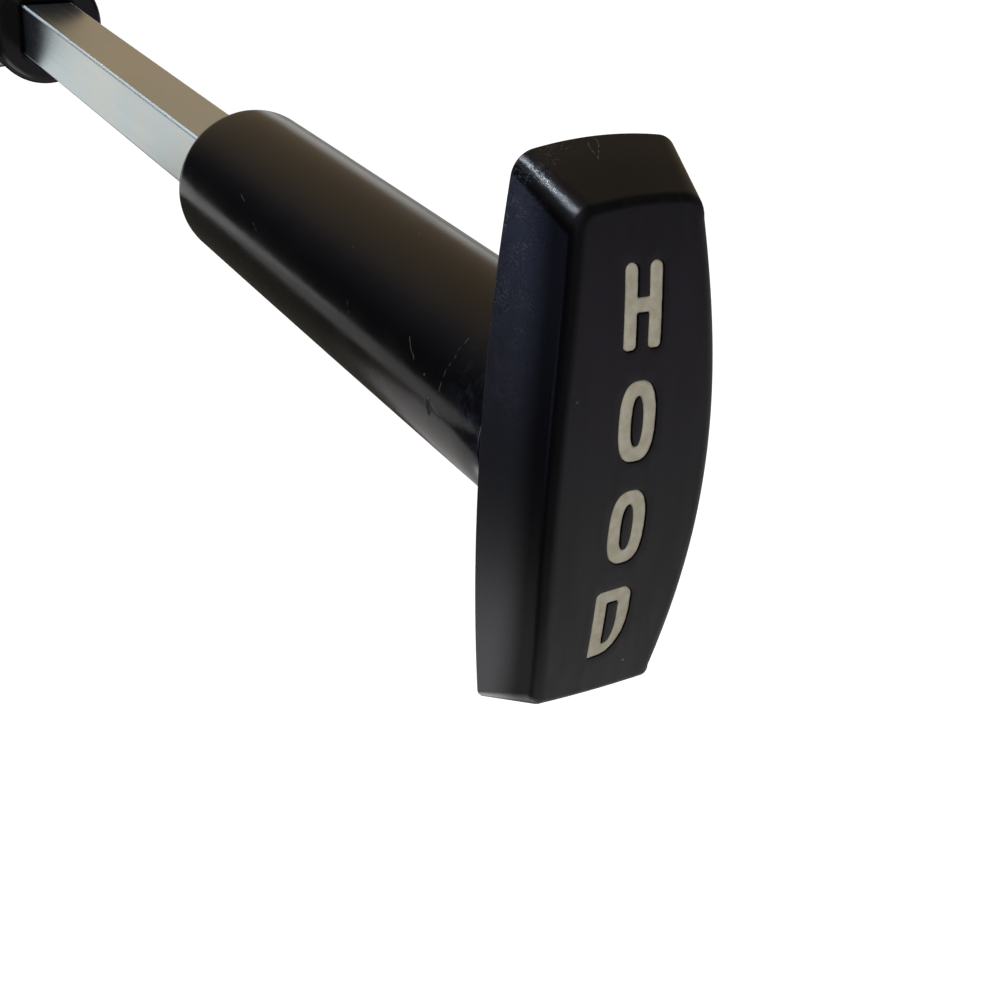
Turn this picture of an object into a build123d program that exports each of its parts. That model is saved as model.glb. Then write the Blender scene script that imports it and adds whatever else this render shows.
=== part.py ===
from build123d import *
import os
from math import cos, radians, sin

# A hood release pull: a moulded T-handle on a square rod, which slides in a guide that clamps to a panel.
# The pull axis is Y. The driver is at -Y and the cable leaves at +Y. +Z is up and +X is the driver's right.
# The origin is on the pull axis, in the plane where the hub's flange seats on the front of the panel.
# All sizes are in millimetres.

# Handle head, with its outline on its back face and the draft from there to its full depth
head_height = 56.1          # back face, over its crowned ends
head_width = 19.6           # back face, at mid-height
head_end_width = 16.6       # back face, across an end
upper_crown = 0.9           # rise of the upper end edge between its corners
lower_crown = 0.35          # the same of the lower one
front_crown_share = 0.28    # of those rises, left at full depth
end_draft = 4.65            # lost at each end
side_draft = 1.3            # lost from each side at mid-height
corner_draft = 2.6          # lost from each side at an end
head_depth = 10.5           # at mid-height, where the bowed front stands furthest out
bow_radius = 107.0          # of the front face, about an axis along X
upper_corner_fillet = 2.4   # on the two upper edges that run from back to front
lower_corner_fillet = 1.0   # on the two lower ones
front_fillet = 1.4          # round the front face

# Handle stem
stem_length = 78.0
stem_root_radius = 9.7      # where it meets the head
stem_end_radius = 9.45
stem_end_rounding = 3.0
rounding_pull = 0.55        # of the curve that rounds the end, as a share of its size
stem_overlap = 1.0          # how far it runs into the head, so that the two fuse

# Square rod
rod_size = 8.0
rod_corner = 0.4
rod_exposed = 80.0          # bare rod between the stem and the nose, at rest
socket_depth = 60.0         # length of rod moulded into the stem
anchor_notch_depth = 0.8    # notches that lock the rod in the moulding
anchor_notch_length = 5.0
anchor_notch_pitch = 20.0
anchor_notch_count = 2
anchor_first_notch = 12.0   # from the rod's front end to the first notch

# Travel of the handle from rest
travel_out = 10.0
travel_in = 50.0

# Tail of the rod, with the stop washer, its clip and the hole for the cable's inner wire
tail_radius = 3.0
tail_end_length = 2.4       # behind the clip
tail_chamfer = 0.5
wire_hole_radius = 0.95
wire_hole_depth = 9.0
stop_washer_radius = 6.0
stop_washer_thickness = 1.6
clip_thickness = 0.8
clip_outer_radius = 5.2
clip_relief_radius = 3.5
clip_mouth_width = 4.2
clip_lug_width = 2.2
clip_groove_radius = 2.3
clip_side_clearance = 0.05

# Guide tube and the nose bushing that caps it
tube_radius = 8.0
tube_bore_radius = 6.35
nose_radius = 9.1
nose_wall = 2.0             # from the nose's front face to the end of the tube
nose_fillet = 1.5
nose_length = 34.0          # from the nose's front face to the hub's flange
bearing_length = 18.0       # of the square hole
hole_chamfer = 0.6
running_clearance = 0.15    # each side of the rod in the bushing
press_clearance = 0.02      # radial, between pieces that are pressed together
bumper_thickness = 2.5
bumper_clearance = 0.25     # each side of the rod, and round the rim
stop_clearance = 0.3        # left at both ends of the travel
bead_depth = 0.7            # rolled groove that holds the ferrule in the tube
bead_width = 1.6
bead_clearance = 0.1

# Panel hub with its flange, thread and flats
flange_radius = 15.0
flange_thickness = 4.0
flange_chamfer = 0.6
thread_radius = 10.0
thread_length = 16.0
thread_chamfer = 1.0
flats_width = 18.4          # across the two flats that stop the hub turning in the panel
panel_gap = 2.5             # room for the panel, between the flange and the lock washer
lock_washer_thickness = 1.2
lock_washer_radius = 14.5
lock_washer_ring = 2.3
lock_washer_teeth = 12
tooth_root_share = 0.34     # half of a tooth's width at its root, as a share of the teeth's pitch
tooth_tip_share = 0.22      # the same at its tip
tooth_clearance = 0.15
nut_across_flats = 27.0
nut_thickness = 6.0
nut_clearance = 0.05
nut_bore_chamfer = 0.7
nut_corner_rise = 0.9       # height of the chamfer at a corner of the hexagon

# Conduit ferrule at the rear of the tube, the cable's gland
ferrule_plug_length = 7.0
ferrule_rim_thickness = 2.0
ferrule_tail_radius = 4.8
ferrule_tail_length = 18.0
conduit_bore_radius = 3.2
conduit_bore_depth = 15.0
wire_passage_radius = 1.3
crimp_groove_depth = 0.4
crimp_groove_width = 2.0
crimp_groove_pitch = 4.5
crimp_groove_count = 2
ferrule_chamfer = 0.5

# Places along the pull axis, from the panel seat
nose_front = -(flange_thickness + nose_length)
stem_end = nose_front - rod_exposed
head_back = stem_end - stem_length
tube_front = nose_front + nose_wall
bearing_end = nose_front + bearing_length
bumper_end = bearing_end + bumper_thickness
rod_shoulder = bumper_end + stop_clearance + travel_out
washer_end = rod_shoulder + stop_washer_thickness
clip_start = washer_end + clip_side_clearance
clip_end = clip_start + clip_thickness
tail_end = clip_end + clip_side_clearance + tail_end_length
ferrule_front = tail_end + travel_in + stop_clearance
tube_end = ferrule_front + ferrule_plug_length
ferrule_rim_end = tube_end + ferrule_rim_thickness
ferrule_end = ferrule_rim_end + ferrule_tail_length
bead_centre = ferrule_front + ferrule_plug_length / 2
lock_washer_end = panel_gap + lock_washer_thickness
nut_end = lock_washer_end + nut_thickness


def across_y(y):
    """The plane across the pull axis at y, facing +Y."""
    return Plane(origin=(0, y, 0), x_dir=(1, 0, 0), z_dir=(0, 1, 0))


def turned(*points):
    """A solid turned about the pull axis from (radius, y) points of its half section."""
    return revolve(make_face(Polyline(*points, close=True)), Axis.Y)


def disc(radius, y_from, y_to):
    """A plain cylinder on the pull axis."""
    return turned((0, y_from), (radius, y_from), (radius, y_to), (0, y_to))


def square_bar(size, corner, y_from, y_to):
    """A square bar on the pull axis, its faces square to X and Z."""
    return extrude(across_y(y_from) * RectangleRounded(size, size, corner), y_to - y_from)


def barrel_outline(width, end_width, height, crown_share, y):
    """The head's outline at y: bulged long sides and crowned ends, drawn as four arcs."""
    x, end = end_width / 2, height / 2
    top, bottom = end - upper_crown * crown_share, lower_crown * crown_share - end
    arcs = [
        ThreePointArc((-x, bottom), (0, -end), (x, bottom)),
        ThreePointArc((x, bottom), (width / 2, 0), (x, top)),
        ThreePointArc((x, top), (0, end), (-x, top)),
        ThreePointArc((-x, top), (-width / 2, 0), (-x, bottom)),
    ]
    return Plane.XZ.offset(-y) * make_face(arcs)


def make_head():
    """The grip: a drafted bar whose front face is bowed from end to end."""
    loft_share = 1.3  # the loft runs past the bowed face, which is then cut
    back_face = barrel_outline(head_width, head_end_width, head_height, 1, head_back)
    far_face = barrel_outline(
        head_width - 2 * side_draft * loft_share,
        head_end_width - 2 * corner_draft * loft_share,
        head_height - 2 * end_draft * loft_share,
        1 - (1 - front_crown_share) * loft_share,
        head_back - head_depth * loft_share,
    )
    block = loft([back_face, far_face], ruled=True)
    for side, radius in ((1, upper_corner_fillet), (-1, lower_corner_fillet)):
        long_edges = [e for e in block.edges() if abs(e.tangent_at(0.5).Y) > 0.5]
        block = fillet([e for e in long_edges if side * e.center().Z > 0], radius)
    bow = Cylinder(bow_radius, head_width * 2, rotation=(0, 90, 0))
    block &= Pos(0, head_back - head_depth + bow_radius, 0) * bow
    return fillet(block.faces().sort_by(Axis.Y)[0].edges(), front_fillet)


def make_stem():
    """The round stem, slightly tapered and barrelled, with a well rounded rear end."""
    start = head_back - stem_overlap
    shoulder = stem_end - stem_end_rounding
    middle = (head_back + shoulder) / 2
    crown = stem_end_radius - stem_end_rounding
    pull = rounding_pull * stem_end_rounding
    rounding = [
        (stem_end_radius, shoulder),
        (stem_end_radius, shoulder + pull),
        (crown + pull, stem_end),
        (crown, stem_end),
    ]
    outline = [
        Polyline((0, start), (crown, start), (crown, head_back), (stem_root_radius, head_back)),
        Bezier((stem_root_radius, head_back), (stem_root_radius, middle), (stem_end_radius, shoulder)),
        Bezier(*rounding),
        Polyline((crown, stem_end), (0, stem_end), (0, start)),
    ]
    return revolve(make_face(outline), Axis.Y)


def make_rod():
    """The square rod: notched front end, and a turned tail with a clip groove and a wire hole."""
    rod_front = stem_end - socket_depth
    rod = square_bar(rod_size, rod_corner, rod_front, rod_shoulder)
    for i in range(anchor_notch_count):
        y = rod_front + anchor_first_notch + i * anchor_notch_pitch
        core = square_bar(rod_size - 2 * anchor_notch_depth, rod_corner, y, y + anchor_notch_length)
        collar = extrude(across_y(y) * Rectangle(2 * rod_size, 2 * rod_size), anchor_notch_length)
        rod -= collar - core
    rod += turned(
        (0, rod_shoulder),
        (tail_radius, rod_shoulder),
        (tail_radius, clip_start - clip_side_clearance),
        (clip_groove_radius, clip_start - clip_side_clearance),
        (clip_groove_radius, clip_end + clip_side_clearance),
        (tail_radius, clip_end + clip_side_clearance),
        (tail_radius, tail_end - tail_chamfer),
        (tail_radius - tail_chamfer, tail_end),
        (0, tail_end),
    )
    return rod - disc(wire_hole_radius, tail_end - wire_hole_depth, tail_end)


def make_handle(rod):
    """The T-handle, one moulding with the rod's front end cast into its stem."""
    return make_head() + make_stem() - rod


def make_stop_washer():
    """The washer behind the rod's shoulder, which runs in the tube and ends the pull."""
    bore = tail_radius + press_clearance
    return disc(stop_washer_radius, rod_shoulder, washer_end) - disc(bore, rod_shoulder, washer_end)


def make_retaining_clip():
    """The E-shaped clip in the tail's groove: an open ring with three lugs."""
    plane = across_y(clip_start)
    ring = Circle(clip_outer_radius) - Circle(clip_relief_radius)
    lug_height = clip_relief_radius + (clip_outer_radius - clip_relief_radius) / 2
    for angle in (90, 210, 330):
        ring += Rot(0, 0, angle) * Pos(lug_height / 2, 0) * Rectangle(lug_height, clip_lug_width)
    mouth = Pos(0, -clip_outer_radius / 2) * Rectangle(clip_mouth_width, clip_outer_radius)
    ring -= Circle(clip_groove_radius + press_clearance) + mouth
    return extrude(plane * ring, clip_thickness)


def make_nose_bushing():
    """The black cap on the front of the tube, with a skirt outside and the rod's square bearing inside."""
    skirt_bore = tube_radius + press_clearance
    spigot = tube_bore_radius - press_clearance
    bushing = turned(
        (0, nose_front),
        (nose_radius, nose_front),
        (nose_radius, -flange_thickness),
        (skirt_bore, -flange_thickness),
        (skirt_bore, tube_front),
        (spigot, tube_front),
        (spigot, bearing_end),
        (0, bearing_end),
    )
    front_rim = bushing.edges().filter_by(GeomType.CIRCLE).sort_by(Axis.Y)[0]
    bushing = fillet(front_rim, nose_fillet)
    hole = rod_size + 2 * running_clearance
    bushing -= square_bar(hole, rod_corner + running_clearance, nose_front, bearing_end)
    mouth = bushing.faces().filter_by(Axis.Y).sort_by(Axis.Y)[0].inner_wires()[0]
    return chamfer(mouth.edges(), hole_chamfer)


def make_guide_tube():
    """The steel tube that houses the rod's tail, with a rolled bead that holds the ferrule."""
    low, high = bead_centre - bead_width / 2, bead_centre + bead_width / 2
    return turned(
        (tube_bore_radius, tube_front),
        (tube_radius, tube_front),
        (tube_radius, low - bead_depth),
        (tube_radius - bead_depth, low),
        (tube_radius - bead_depth, high),
        (tube_radius, high + bead_depth),
        (tube_radius, tube_end),
        (tube_bore_radius, tube_end),
        (tube_bore_radius, high + bead_depth),
        (tube_bore_radius - bead_depth, high),
        (tube_bore_radius - bead_depth, low),
        (tube_bore_radius, low - bead_depth),
    )


def make_panel_hub():
    """The hub brazed on the tube: a round flange and a threaded shank with two flats."""
    bore = tube_radius + press_clearance
    hub = turned(
        (bore, -flange_thickness),
        (flange_radius - flange_chamfer, -flange_thickness),
        (flange_radius, flange_chamfer - flange_thickness),
        (flange_radius, 0),
        (thread_radius, 0),
        (thread_radius, thread_length - thread_chamfer),
        (thread_radius - thread_chamfer, thread_length),
        (bore, thread_length),
    )
    for side in (1, -1):
        flat = Pos(side * (flats_width / 2 + thread_radius / 2), thread_length / 2, 0)
        hub -= flat * Box(thread_radius, thread_length, 2 * thread_radius)
    return hub


def make_bumper():
    """The rubber washer that the stop washer meets at the end of the pull."""
    bumper = disc(tube_bore_radius - bumper_clearance, bearing_end, bumper_end)
    return bumper - square_bar(rod_size + 2 * bumper_clearance, rod_corner, bearing_end, bumper_end)


def make_lock_washer():
    """The lock washer: a flat ring with teeth that reach in to the thread."""
    ring_inner = lock_washer_radius - lock_washer_ring
    tooth_tip = thread_radius + tooth_clearance
    washer = Circle(lock_washer_radius) - Circle(ring_inner)
    pitch = radians(360 / lock_washer_teeth)
    half_root, half_tip = pitch * tooth_root_share, pitch * tooth_tip_share
    root = ring_inner + lock_washer_ring / 4
    for i in range(lock_washer_teeth):
        middle = pitch * i
        corners = [(root, -half_root), (tooth_tip, -half_tip), (tooth_tip, half_tip), (root, half_root)]
        tooth = Polyline(*[(r * cos(middle + a), r * sin(middle + a)) for r, a in corners], close=True)
        washer += make_face(tooth)
    washer -= Circle(tooth_tip)
    return extrude(across_y(panel_gap) * washer, lock_washer_thickness)


def make_nut():
    """The hexagon nut, chamfered at its corners and at both ends of its bore."""
    corner_radius = nut_across_flats / 2 / cos(radians(30))
    blank = extrude(across_y(lock_washer_end) * RegularPolygon(corner_radius, 6), nut_thickness)
    flat_radius = nut_across_flats / 2
    blank &= turned(
        (0, lock_washer_end),
        (flat_radius, lock_washer_end),
        (corner_radius, lock_washer_end + nut_corner_rise),
        (corner_radius, nut_end - nut_corner_rise),
        (flat_radius, nut_end),
        (0, nut_end),
    )
    bore = thread_radius + nut_clearance
    return blank - turned(
        (0, lock_washer_end),
        (bore + nut_bore_chamfer, lock_washer_end),
        (bore, lock_washer_end + nut_bore_chamfer),
        (bore, nut_end - nut_bore_chamfer),
        (bore + nut_bore_chamfer, nut_end),
        (0, nut_end),
    )


def make_ferrule():
    """The conduit ferrule: a plug in the tube, a rim against its end, and a tail with a bore."""
    plug = tube_bore_radius - press_clearance
    neck = plug - bead_depth - bead_clearance
    low, high = bead_centre - bead_width / 2, bead_centre + bead_width / 2
    slope = bead_depth + bead_clearance
    ferrule = turned(
        (0, ferrule_front),
        (plug - ferrule_chamfer, ferrule_front),
        (plug, ferrule_front + ferrule_chamfer),
        (plug, low - slope),
        (neck, low),
        (neck, high),
        (plug, high + slope),
        (plug, tube_end),
        (tube_radius, tube_end),
        (tube_radius, ferrule_rim_end),
        (ferrule_tail_radius, ferrule_rim_end),
        (ferrule_tail_radius, ferrule_end - ferrule_chamfer),
        (ferrule_tail_radius - ferrule_chamfer, ferrule_end),
        (0, ferrule_end),
    )
    ferrule -= disc(wire_passage_radius, ferrule_front, ferrule_end)
    ferrule -= disc(conduit_bore_radius, ferrule_end - conduit_bore_depth, ferrule_end)
    groove_inner = ferrule_tail_radius - crimp_groove_depth
    for i in range(crimp_groove_count):
        start = ferrule_end - crimp_groove_pitch * (i + 1)
        end = start + crimp_groove_width
        ferrule -= disc(2 * ferrule_tail_radius, start, end) - disc(groove_inner, start, end)
    return ferrule


rod = make_rod()
pieces = {
    "handle": make_handle(rod),
    "pull_rod": rod,
    "stop_washer": make_stop_washer(),
    "retaining_clip": make_retaining_clip(),
    "nose_bushing": make_nose_bushing(),
    "guide_tube": make_guide_tube(),
    "panel_hub": make_panel_hub(),
    "bumper_washer": make_bumper(),
    "lock_washer": make_lock_washer(),
    "mounting_nut": make_nut(),
    "conduit_ferrule": make_ferrule(),
}

os.makedirs("parts", exist_ok=True)
for name, piece in pieces.items():
    export_step(piece, f"parts/{name}.step")
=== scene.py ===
import math

import bmesh
import bpy
from mathutils import Matrix, Vector, noise
from mathutils.geometry import delaunay_2d_cdt, tessellate_polygon


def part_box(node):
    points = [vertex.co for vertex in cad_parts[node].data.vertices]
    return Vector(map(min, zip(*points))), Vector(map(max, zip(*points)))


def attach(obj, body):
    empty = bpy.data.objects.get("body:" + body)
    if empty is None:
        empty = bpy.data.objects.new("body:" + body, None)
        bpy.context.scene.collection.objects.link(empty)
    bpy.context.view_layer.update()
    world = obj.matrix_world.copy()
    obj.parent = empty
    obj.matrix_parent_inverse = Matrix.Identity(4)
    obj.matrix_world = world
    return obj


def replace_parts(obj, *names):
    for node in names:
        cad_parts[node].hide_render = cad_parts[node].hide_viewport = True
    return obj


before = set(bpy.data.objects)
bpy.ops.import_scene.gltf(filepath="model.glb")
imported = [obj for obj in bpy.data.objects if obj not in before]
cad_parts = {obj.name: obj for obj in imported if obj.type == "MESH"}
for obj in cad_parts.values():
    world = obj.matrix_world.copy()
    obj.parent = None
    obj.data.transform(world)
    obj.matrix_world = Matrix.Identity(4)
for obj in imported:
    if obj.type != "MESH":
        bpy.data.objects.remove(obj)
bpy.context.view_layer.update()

# Looks of a hood release pull: a black moulded T-handle on a square zinc-plated rod, in its panel guide.
# All lengths are in metres. MM turns millimetres into them.
# The pull axis is Y, the driver is at -Y, +Z is up and +X is the driver's right.

MM = 0.001

handle_low, handle_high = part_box("handle")
hub_low, hub_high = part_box("panel_hub")

# Handle head, the same sizes as the solid's: half sizes of its back face, and of its outline at full depth
HEAD_DEPTH = 10.5 * MM
HEAD_FRONT = handle_low.y
HEAD_BACK = HEAD_FRONT + HEAD_DEPTH
BACK_HALF = {"height": 28.05 * MM, "width": 9.8 * MM, "end_width": 8.3 * MM, "crown_share": 1.0}
FULL_DEPTH_HALF = {"height": 23.4 * MM, "width": 8.5 * MM, "end_width": 5.7 * MM, "crown_share": 0.28}
UPPER_END = {"crown": 0.9 * MM, "corner": 2.4 * MM}
LOWER_END = {"crown": 0.35 * MM, "corner": 1.0 * MM}
BOW_RADIUS = 107 * MM
FRONT_EDGE_RADIUS = 1.4 * MM
BACK_EDGE_RADIUS = 0.2 * MM
# Mesh steps along the outline's arcs, round the two edges and across the wall between them
SIDE_STEPS = 26
CORNER_STEPS = 8
END_STEPS = 8
FRONT_EDGE_STEPS = 9
BACK_EDGE_STEPS = 4
WALL_ROWS = (0.08, 0.5, 0.92)
DEPTH_ROUNDS = 12
# The front face's grid, how far it reaches in x and z, and how far it keeps off the rims
FRONT_GRID = 0.9 * MM
FRONT_REACH = (8 * MM, 24 * MM)
FRONT_CLEARANCE = 0.45 * FRONT_GRID

# Handle stem and its socket
STEM_END = handle_high.y
STEM_ROOT_RADIUS = 9.7 * MM
STEM_END_RADIUS = 9.45 * MM
STEM_ROUNDING = 3.0 * MM
STEM_ROUNDING_PULL = 0.55
STEM_SEGMENTS = 160
SOCKET_DEPTH = 60 * MM
SOCKET_HALF = 4.01 * MM
STEM_ROWS = 14
STEM_ROUNDING_ROWS = 10
# The ragged groove at the stem's root: its depth and its least share of that, where it is deepest,
# how far it spreads, the share of that over which it is full, and its waves (fineness, place, strength)
ROOT_GROOVE = 0.42 * MM
ROOT_GROOVE_LEAST = 0.12
ROOT_GROOVE_MIDDLE = math.radians(212)
ROOT_GROOVE_SPREAD = math.radians(42)
ROOT_GROOVE_FULL = 0.35
ROOT_GROOVE_WAVES = [(6, 3.1, 0.35), (40, 8.4, 0.3)]
# The small fillet on the root's upper side: its width, and how fast it widens from the sides
ROOT_FLARE = 0.35 * MM
ROOT_FLARE_GAIN = 1.6
# Rows of the root: (distance behind the head, share of the groove, share of the fillet)
ROOT_ROWS = [
    (0, 1.0, 1.0), (0.08 * MM, 1.05, 0.56), (0.18 * MM, 0.6, 0.28), (0.3 * MM, 0.12, 0.08), (0.45 * MM, 0, 0),
]

# Letters in the head's front face: (letter, its middle's x and z, height, turn clockwise in degrees)
LETTERS = [
    ("H", 0.08 * MM, 15.71 * MM, 7.58 * MM, 1.1),
    ("O", -0.04 * MM, 5.28 * MM, 7.66 * MM, 0.0),
    ("O", 0.03 * MM, -5.27 * MM, 7.64 * MM, 0.0),
    ("D", 0.06 * MM, -15.9 * MM, 7.8 * MM, -2.9),
]
LETTER_WIDTH = 3.84 * MM
LETTER_STROKE = 1.3 * MM
# Stroke at the top and bottom of the O and D, edges of the H's bar, and how square the O and its hole are
LETTER_ARCH = 1.1 * LETTER_STROKE
H_BAR_LOW, H_BAR_HIGH = -0.55 * MM, 0.75 * MM
O_SQUARENESS, O_HOLE_SQUARENESS = 2.7, 2.3
# The D's right side: its lower curve's place across and squareness, and its shoulder's height to width
D_CURVE_PLACE = 0.22
D_SQUARENESS = 2.15
D_SHOULDER_SHAPE = 1.25
# Lengths of an outline's steps on straight runs and on corner arcs, and of an oval's in degrees
LETTER_STEP = 0.35 * MM
CORNER_STEP = 0.12 * MM
OVAL_STEP = 7
# Each level is (distance outside the letter's outline, depth under the face) in mm
CHANNEL_LEVELS = [(0.13, 0.0), (0.085, 0.015), (0.055, 0.06), (0.04, 0.16), (0.03, 0.42)]
PAINT_LEVELS = [(-0.36, 0.0), (-0.22, 0.008), (-0.13, 0.035), (-0.06, 0.085), (-0.015, 0.16), (-0.01, 0.4)]
PAINT_UNEVEN = 0.035 * MM
PAINT_UNEVEN_SCALE = 1.7

# Hub thread: its crest is a share of half the pitch, and it fades to its least share at both ends
THREAD_RADIUS = 10 * MM
THREAD_PITCH = 1.5 * MM
THREAD_DEPTH = 0.8 * MM
THREAD_CREST = 0.12
THREAD_LEAST = 0.15
THREAD_FADE_AT_END = 1.1 * MM
THREAD_FADE_AT_FLANGE = 1.2 * MM
THREAD_ROW = THREAD_PITCH / 10
FLATS_HALF = 9.2 * MM
HUB_BORE = 8.02 * MM
HUB_CHAMFER = 0.6 * MM
HUB_SEGMENTS = 144
SHANK_CHAMFER_DEPTH = 0.85 * MM
SHANK_CHAMFER_LENGTH = 1.0 * MM
FLANGE_EDGE = 0.15 * MM
BORE_EDGE = 0.1 * MM

# The photo's camera, found from the object's outlines. Its place is from the middle of the head's front.
CAMERA_FROM_HEAD = Vector((-83.14, -111.73, 70.77)) * MM
CAMERA_AZIMUTH = math.radians(-31.87)
CAMERA_ELEVATION = math.radians(28.07)
CAMERA_ROLL = math.radians(3.99)
CAMERA_LENS = 63.42
CAMERA_SENSOR = 36.0
CAMERA_CLIP = 0.01

# The table top: its outline in metres from the head's front, and its drop below the pull axis
TABLE_OUTLINE = [
    (-0.12, 0.05), (0.0, -0.165), (0.1, -0.215), (2.2, -0.215),
    (2.2, 3.4), (-0.3, 3.4), (-0.3, 0.29), (-0.12, 0.24),
]
TABLE_DROP = 0.13
# How much it glows for the camera, so that it shows as white, and in the handle's gloss
TABLE_GLOW = 0.85
TABLE_GLOW_IN_GLOSS = 0.13

# Painted reflections on the table, which only show in the handle's gloss: a dark sheet of painted shade and
# glowing sheets of painted light. Columns: name, outline, tone
MIRRORED = [
    # A dark sheet of painted shade: stands in for shade on the table under the stem, and shows only in
    # reflections
    (
        "reflected_shade_sheet",
        [
            (-0.145, 0.265), (0.0, 0.195), (0.09, 0.195), (0.09, 0.8),
            (-0.03, 0.8), (-0.03, 0.46), (-0.145, 0.44),
        ],
        (0.055, 0.05, 0.04),
    ),
    # Glowing sheets of painted light, which show only as painted reflections
    ("near_glow_sheet", [(-0.088, 0.03), (-0.01, 0.0), (0.0, 0.11), (-0.088, 0.13)], (2.9, 2.85, 2.97)),
    ("far_glow_sheet", [(-0.3, 0.46), (-0.03, 0.47), (-0.03, 0.9), (-0.3, 0.9)], (0.7, 0.715, 0.71)),
]

# The room, in linear colours: its tone at the horizon and overhead, and over which heights it changes
ROOM_LOW = (0.026, 0.026, 0.03)
ROOM_HIGH = (0.225, 0.215, 0.25)
ROOM_HEIGHTS = (0.0, 0.9)
# Its patches: name, direction, the cosines from it at which the patch starts and is full, tone
ROOM_PATCHES = [
    ("front", (0.6, -0.72, -0.35), 0.6, 0.95, (0.38, 0.34, 0.42)),
    ("overhead", (0.35, -0.6, 0.72), 0.7, 0.9, (0.012, 0.012, 0.012)),
    ("side", (-0.885, 0.362, -0.292), 0.972, 1.0, (1.35, 1.6, 2.75)),
    ("wall", (0.466, 0.749, 0.47), 0.53, 0.95, (0.305, 0.233, 0.153)),
    ("sill", (0.52, 0.854, 0.0), 0.975, 0.995, (0.75, 0.74, 0.7)),
]

# Lamps: name, place from the head, size, power, colour, whether it shows in reflections or else only lights
LAMPS = [
    ("front", (-1.05, -1.85, 0.65), (1.2, 1.2), 50.0, (1.0, 0.99, 0.97), False),
    ("window", (-0.36, 0.23, 0.79), (0.07, 0.07), 5.6, (0.8, 0.89, 1.0), True),
]

# Colours that each material varies between
HANDLE_BLACK = ((0.0012, 0.0012, 0.0014), (0.0023, 0.0022, 0.0025))
NOSE_BLACK = ((0.003, 0.0028, 0.0028), (0.005, 0.0046, 0.0046))
PAINT_CREAM = ((0.27, 0.25, 0.185), (0.34, 0.325, 0.26))
ROD_ZINC = ((0.75, 0.84, 0.86), (0.835, 0.865, 0.82))
RUBBER_BLACK = ((0.015, 0.015, 0.015), (0.03, 0.03, 0.03))
TABLE_WHITE = ((0.8, 0.8, 0.8), (0.82, 0.82, 0.82))

# Other metals: colours and roughnesses that each varies between, stretch of its fine marks, their fineness
METALS = {
    "hub_zinc": ((0.52, 0.53, 0.54), (0.62, 0.63, 0.63), 0.24, 0.4, (1, 8, 1), 1800),
    "tube_zinc": ((0.5, 0.51, 0.53), (0.6, 0.61, 0.62), 0.25, 0.4, (1, 0.03, 1), 1800),
    "ferrule_zinc": ((0.5, 0.5, 0.5), (0.6, 0.6, 0.58), 0.25, 0.38, (1, 9, 1), 1800),
    "nut_zinc": ((0.55, 0.55, 0.53), (0.64, 0.63, 0.6), 0.28, 0.42, (1, 1, 1), 700),
    "washer_zinc": ((0.56, 0.55, 0.5), (0.66, 0.65, 0.6), 0.26, 0.4, (1, 1, 1), 900),
    "clip_steel": ((0.1, 0.1, 0.11), (0.16, 0.16, 0.17), 0.3, 0.45, (1, 1, 1), 900),
}
METAL_PIECES = [
    ("guide_tube", "tube_zinc"), ("conduit_ferrule", "ferrule_zinc"), ("mounting_nut", "nut_zinc"),
    ("lock_washer", "washer_zinc"), ("stop_washer", "washer_zinc"), ("retaining_clip", "clip_steel"),
]

# Fine marks on the stem: start and end as (degrees up from the left side, distance behind the head in mm)
STEM_MARKS = [
    ((45.7, 8.1), (31.4, 8.2)), ((31.4, 8.2), (20.0, 8.45)), ((20.0, 8.45), (11.9, 8.4)),
    ((26.2, 15.9), (21.7, 15.0)), ((21.7, 15.0), (17.0, 13.9)), ((1.4, 9.7), (-0.8, 8.1)),
    ((32.0, 59.0), (28.2, 57.5)), ((20.1, 53.6), (17.4, 52.4)), ((19.0, 28.9), (14.4, 28.0)),
    ((32.1, 19.6), (34.1, 19.1)), ((80.0, 14.8), (80.8, 14.1)), ((-3.2, 7.4), (-3.6, 7.2)),
]
STEM_NICK = ((1.3, 10.1), (-5.3, 9.8))
# Fibres and a speck on the head's upper end: start and end as (x, distance before the head's back) in mm
TOP_MARKS = [
    ((-1.3, 0.65), (-1.55, 1.8)), ((-1.55, 1.8), (-1.5, 2.7)), ((-1.5, 2.7), (-0.55, 1.4)),
    ((-0.55, 1.4), (-0.5, 0.4)), ((1.05, 0.5), (1.1, 0.35)),
]
MARK_WIDTH = 0.09 * MM
NICK_WIDTH = 4 * MARK_WIDTH
FIBRE_WIDTH = 0.8 * MARK_WIDTH

# Colours of the handle's wear, and the painted bluish glint on its grain flecks
SCUFF_COLOUR = (0.018, 0.023, 0.038)
# Painted glint: a pale bluish tone that the grain flecks take, standing in for light they catch
FLECK_GLINT_COLOUR = (0.05, 0.058, 0.085)
DUST_COLOUR = (0.16, 0.16, 0.17)
SCRATCH_COLOUR = (0.14, 0.13, 0.12)
FIBRE_COLOUR = (0.11, 0.1, 0.095)

# Heights of fine surfaces
SKIN_HEIGHT = 0.009 * MM
GRAIN_HEIGHT = 0.08 * MM
NICK_DEPTH = 0.1 * MM
NOSE_SKIN_HEIGHT = 0.004 * MM
PAINT_HEIGHT = 0.02 * MM
RUBBER_HEIGHT = 0.03 * MM
METAL_MARK_HEIGHT = 0.01 * MM
ROD_MARK_HEIGHT = 0.0003 * MM


# Meshes

def new_object(name, mesh, body, material):
    """An object for a finished mesh, riding on a body and finished with a material."""
    piece = bpy.data.objects.new(name, mesh)
    bpy.context.scene.collection.objects.link(piece)
    piece.data.materials.append(material)
    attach(piece, body)
    return piece


def smooth_shaded(mesh, angle=35):
    """Smooth shading that keeps edges sharper than an angle in degrees."""
    mesh.polygons.foreach_set("use_smooth", [True] * len(mesh.polygons))
    mesh.set_sharp_from_angle(angle=math.radians(angle))
    mesh.update()


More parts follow.
